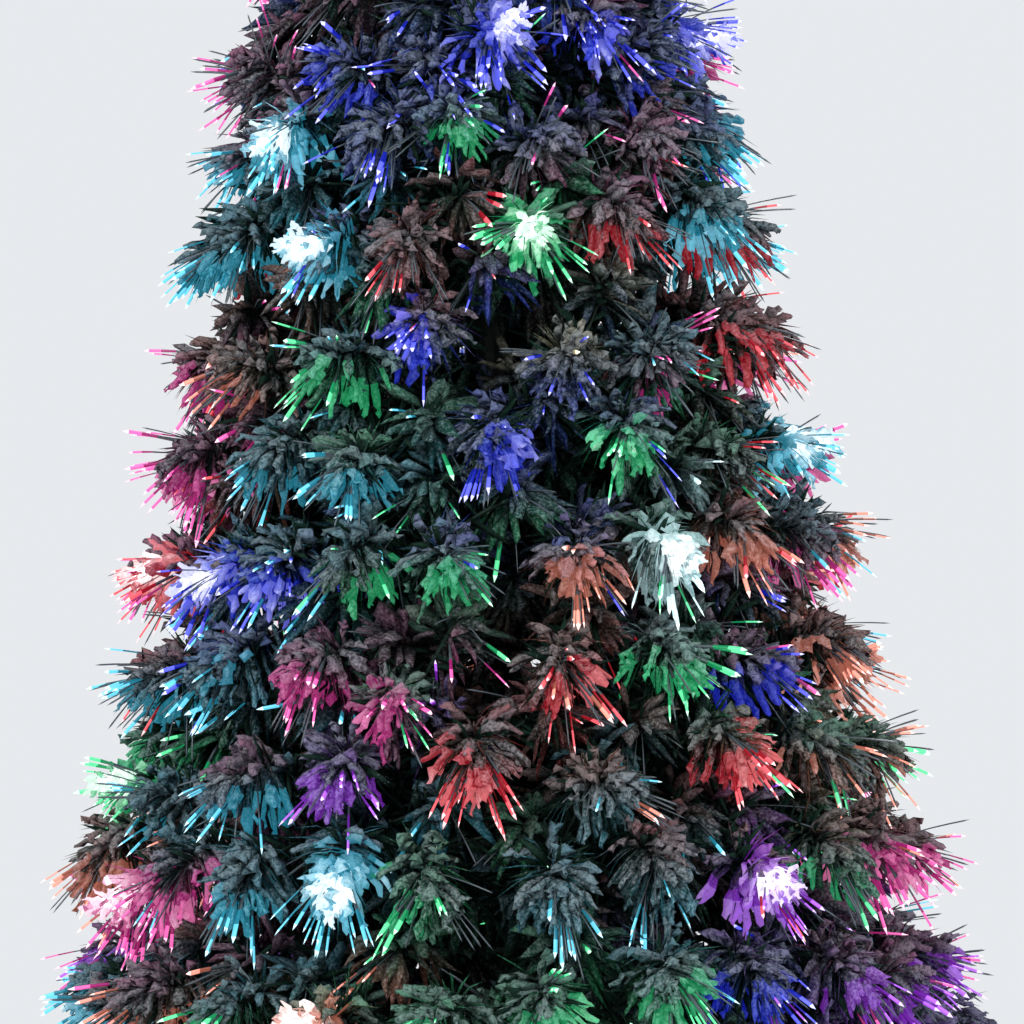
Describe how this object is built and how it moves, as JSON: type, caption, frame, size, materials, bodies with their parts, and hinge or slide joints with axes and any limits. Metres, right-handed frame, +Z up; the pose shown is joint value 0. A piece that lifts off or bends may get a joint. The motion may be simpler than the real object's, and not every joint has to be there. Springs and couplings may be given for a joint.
{
  "type": "fibre optic christmas tree",
  "caption": "Slim snow-flocked artificial tree on a round light base: fibre tips lit through a colour wheel, hinged branches that fold up along a steel pole.",
  "frame": {"origin": "centre of the tree at floor level, under the feet", "axes": "+Z up along the pole; -Y is the front, +Y the side with the switch and inlet"},
  "size_m": [0.7452, 0.7452, 1.8],
  "materials": {
    "flocked_needles": "matte",
    "pole_steel": "satin",
    "hub_plastic": "matte",
    "base_plastic": "matte",
    "switch_plastic": "gloss",
    "fibre": "gloss",
    "aluminium": "satin",
    "motor_can": "satin",
    "steel_shaft": "polished",
    "bracket_steel": "satin",
    "lamp_board": "matte",
    "lens_acrylic": "polished",
    "colour_gels": "gloss",
    "fibre_ends": "gloss",
    "led_lamps": "gloss"
  },
  "bodies": {
    "tree": {"base_shell": "base_plastic", "base_plate": "base_plastic", "pole_socket": "base_plastic", "heat_sink": "aluminium", "lamp_board": "lamp_board", "collimator_lens": "lens_acrylic", "wheel_motor": "motor_can", "motor_bracket": "bracket_steel", "switch_body": "switch_plastic", "dc_inlet": "switch_plastic", "lower_pole": "pole_steel", "upper_pole": "pole_steel", "lower_fibre_bundle": "fibre", "upper_fibre_bundle": "fibre", "fibre_ferrule": "aluminium", "crown": "flocked_needles", "hub_1": "hub_plastic", "hub_2": "hub_plastic", "hub_3": "hub_plastic", "hub_4": "hub_plastic", "hub_5": "hub_plastic", "hub_6": "hub_plastic"},
    "colour_wheel": {"colour_wheel": "colour_gels", "motor_shaft": "steel_shaft"},
    "rocker": {"switch_rocker": "switch_plastic"},
    "clamp_screw": {"clamp_screw": "base_plastic"},
    "branch_1_1": {"branch_1_1": "flocked_needles"},
    "branch_1_2": {"branch_1_2": "flocked_needles"},
    "branch_1_3": {"branch_1_3": "flocked_needles"},
    "branch_1_4": {"branch_1_4": "flocked_needles"},
    "branch_1_5": {"branch_1_5": "flocked_needles"},
    "branch_1_6": {"branch_1_6": "flocked_needles"},
    "branch_2_1": {"branch_2_1": "flocked_needles"},
    "branch_2_2": {"branch_2_2": "flocked_needles"},
    "branch_2_3": {"branch_2_3": "flocked_needles"},
    "branch_2_4": {"branch_2_4": "flocked_needles"},
    "branch_2_5": {"branch_2_5": "flocked_needles"},
    "branch_2_6": {"branch_2_6": "flocked_needles"},
    "branch_3_1": {"branch_3_1": "flocked_needles"},
    "branch_3_2": {"branch_3_2": "flocked_needles"},
    "branch_3_3": {"branch_3_3": "flocked_needles"},
    "branch_3_4": {"branch_3_4": "flocked_needles"},
    "branch_3_5": {"branch_3_5": "flocked_needles"},
    "branch_4_1": {"branch_4_1": "flocked_needles"},
    "branch_4_2": {"branch_4_2": "flocked_needles"},
    "branch_4_3": {"branch_4_3": "flocked_needles"},
    "branch_4_4": {"branch_4_4": "flocked_needles"},
    "branch_4_5": {"branch_4_5": "flocked_needles"},
    "branch_5_1": {"branch_5_1": "flocked_needles"},
    "branch_5_2": {"branch_5_2": "flocked_needles"},
    "branch_5_3": {"branch_5_3": "flocked_needles"},
    "branch_5_4": {"branch_5_4": "flocked_needles"},
    "branch_6_1": {"branch_6_1": "flocked_needles"},
    "branch_6_2": {"branch_6_2": "flocked_needles"},
    "branch_6_3": {"branch_6_3": "flocked_needles"},
    "branch_6_4": {"branch_6_4": "flocked_needles"}
  },
  "joints": [
    {"name": "fold_1_1", "type": "hinge", "parent": "tree", "child": "branch_1_1", "pos_m": [0.02944, 0.017, 0.29508], "axis": [0.5, -0.866, 0], "range_deg": [0, 68], "deforming": ["branch_1_1"]},
    {"name": "fold_1_2", "type": "hinge", "parent": "tree", "child": "branch_1_2", "pos_m": [0, 0.034, 0.29508], "axis": [1, 0, 0], "range_deg": [0, 68], "deforming": ["branch_1_2"]},
    {"name": "fold_1_3", "type": "hinge", "parent": "tree", "child": "branch_1_3", "pos_m": [-0.02944, 0.017, 0.29508], "axis": [0.5, 0.866, 0], "range_deg": [0, 68], "deforming": ["branch_1_3"]},
    {"name": "fold_1_4", "type": "hinge", "parent": "tree", "child": "branch_1_4", "pos_m": [-0.02944, -0.017, 0.29508], "axis": [-0.5, 0.866, 0], "range_deg": [0, 68], "deforming": ["branch_1_4"]},
    {"name": "fold_1_5", "type": "hinge", "parent": "tree", "child": "branch_1_5", "pos_m": [0, -0.034, 0.29508], "axis": [-1, 0, 0], "range_deg": [0, 68], "deforming": ["branch_1_5"]},
    {"name": "fold_1_6", "type": "hinge", "parent": "tree", "child": "branch_1_6", "pos_m": [0.02944, -0.017, 0.29508], "axis": [-0.5, -0.866, 0], "range_deg": [0, 68], "deforming": ["branch_1_6"]},
    {"name": "fold_2_1", "type": "hinge", "parent": "tree", "child": "branch_2_1", "pos_m": [0.03397, 0.00142, 0.52003], "axis": [0.0419, -0.9991, 0], "range_deg": [0, 64], "deforming": ["branch_2_1"]},
    {"name": "fold_2_2", "type": "hinge", "parent": "tree", "child": "branch_2_2", "pos_m": [0.01575, 0.03013, 0.52003], "axis": [0.8862, -0.4633, 0], "range_deg": [0, 64], "deforming": ["branch_2_2"]},
    {"name": "fold_2_3", "type": "hinge", "parent": "tree", "child": "branch_2_3", "pos_m": [-0.01822, 0.02871, 0.52003], "axis": [0.8443, 0.5358, 0], "range_deg": [0, 64], "deforming": ["branch_2_3"]},
    {"name": "fold_2_4", "type": "hinge", "parent": "tree", "child": "branch_2_4", "pos_m": [-0.03397, -0.00142, 0.52003], "axis": [-0.0419, 0.9991, 0], "range_deg": [0, 64], "deforming": ["branch_2_4"]},
    {"name": "fold_2_5", "type": "hinge", "parent": "tree", "child": "branch_2_5", "pos_m": [-0.01575, -0.03013, 0.52003], "axis": [-0.8862, 0.4633, 0], "range_deg": [0, 64], "deforming": ["branch_2_5"]},
    {"name": "fold_2_6", "type": "hinge", "parent": "tree", "child": "branch_2_6", "pos_m": [0.01822, -0.02871, 0.52003], "axis": [-0.8443, -0.5358, 0], "range_deg": [0, 64], "deforming": ["branch_2_6"]},
    {"name": "fold_3_1", "type": "hinge", "parent": "tree", "child": "branch_3_1", "pos_m": [0.03058, 0.01486, 0.74919], "axis": [0.4371, -0.8994, 0], "range_deg": [0, 60], "deforming": ["branch_3_1"]},
    {"name": "fold_3_2", "type": "hinge", "parent": "tree", "child": "branch_3_2", "pos_m": [-0.00468, 0.03368, 0.74919], "axis": [0.9905, 0.1378, 0], "range_deg": [0, 60], "deforming": ["branch_3_2"]},
    {"name": "fold_3_3", "type": "hinge", "parent": "tree", "child": "branch_3_3", "pos_m": [-0.03348, 0.00595, 0.74919], "axis": [0.175, 0.9846, 0], "range_deg": [0, 60], "deforming": ["branch_3_3"]},
    {"name": "fold_3_4", "type": "hinge", "parent": "tree", "child": "branch_3_4", "pos_m": [-0.016, -0.03, 0.74919], "axis": [-0.8823, 0.4707, 0], "range_deg": [0, 60], "deforming": ["branch_3_4"]},
    {"name": "fold_3_5", "type": "hinge", "parent": "tree", "child": "branch_3_5", "pos_m": [0.02358, -0.02449, 0.74919], "axis": [-0.7203, -0.6937, 0], "range_deg": [0, 60], "deforming": ["branch_3_5"]},
    {"name": "fold_4_1", "type": "hinge", "parent": "tree", "child": "branch_4_1", "pos_m": [0.02419, 0.02389, 0.98277], "axis": [0.7026, -0.7115, 0], "range_deg": [0, 56], "deforming": ["branch_4_1"]},
    {"name": "fold_4_2", "type": "hinge", "parent": "tree", "child": "branch_4_2", "pos_m": [-0.01525, 0.03039, 0.98277], "axis": [0.8938, 0.4484, 0], "range_deg": [0, 56], "deforming": ["branch_4_2"]},
    {"name": "fold_4_3", "type": "hinge", "parent": "tree", "child": "branch_4_3", "pos_m": [-0.03361, -0.00511, 0.98277], "axis": [-0.1502, 0.9887, 0], "range_deg": [0, 56], "deforming": ["branch_4_3"]},
    {"name": "fold_4_4", "type": "hinge", "parent": "tree", "child": "branch_4_4", "pos_m": [-0.00553, -0.03355, 0.98277], "axis": [-0.9867, 0.1626, 0], "range_deg": [0, 56], "deforming": ["branch_4_4"]},
    {"name": "fold_4_5", "type": "hinge", "parent": "tree", "child": "branch_4_5", "pos_m": [0.0302, -0.01563, 0.98277], "axis": [-0.4596, -0.8881, 0], "range_deg": [0, 56], "deforming": ["branch_4_5"]},
    {"name": "fold_5_1", "type": "hinge", "parent": "tree", "child": "branch_5_1", "pos_m": [0.03358, 0.00532, 1.22111], "axis": [0.1564, -0.9877, 0], "range_deg": [0, 52], "deforming": ["branch_5_1"]},
    {"name": "fold_5_2", "type": "hinge", "parent": "tree", "child": "branch_5_2", "pos_m": [-0.00532, 0.03358, 1.22111], "axis": [0.9877, 0.1564, 0], "range_deg": [0, 52], "deforming": ["branch_5_2"]},
    {"name": "fold_5_3", "type": "hinge", "parent": "tree", "child": "branch_5_3", "pos_m": [-0.03358, -0.00532, 1.22111], "axis": [-0.1564, 0.9877, 0], "range_deg": [0, 52], "deforming": ["branch_5_3"]},
    {"name": "fold_5_4", "type": "hinge", "parent": "tree", "child": "branch_5_4", "pos_m": [0.00532, -0.03358, 1.22111], "axis": [-0.9877, -0.1564, 0], "range_deg": [0, 52], "deforming": ["branch_5_4"]},
    {"name": "fold_6_1", "type": "hinge", "parent": "tree", "child": "branch_6_1", "pos_m": [0.01998, 0.02751, 1.46466], "axis": [0.809, -0.5878, 0], "range_deg": [0, 48], "deforming": ["branch_6_1"]},
    {"name": "fold_6_2", "type": "hinge", "parent": "tree", "child": "branch_6_2", "pos_m": [-0.02751, 0.01998, 1.46466], "axis": [0.5878, 0.809, 0], "range_deg": [0, 48], "deforming": ["branch_6_2"]},
    {"name": "fold_6_3", "type": "hinge", "parent": "tree", "child": "branch_6_3", "pos_m": [-0.01998, -0.02751, 1.46466], "axis": [-0.809, 0.5878, 0], "range_deg": [0, 48], "deforming": ["branch_6_3"]},
    {"name": "fold_6_4", "type": "hinge", "parent": "tree", "child": "branch_6_4", "pos_m": [0.02751, -0.01998, 1.46466], "axis": [-0.5878, -0.809, 0], "range_deg": [0, 48], "deforming": ["branch_6_4"]},
    {"name": "wheel_spin", "type": "hinge", "parent": "tree", "child": "colour_wheel", "pos_m": [0.044, 0, 0.05], "axis": [0, 0, 1], "continuous": true},
    {"name": "rocker_tilt", "type": "hinge", "parent": "tree", "child": "rocker", "pos_m": [0.03, 0.1403, 0.0275], "axis": [0, 0, 1], "range_deg": [0, 14]},
    {"name": "clamp_screw_turn", "type": "hinge", "parent": "tree", "child": "clamp_screw", "pos_m": [0, 0.03, 0.152], "axis": [0, -1, 0], "range_deg": [0, 1080]}
  ]
}
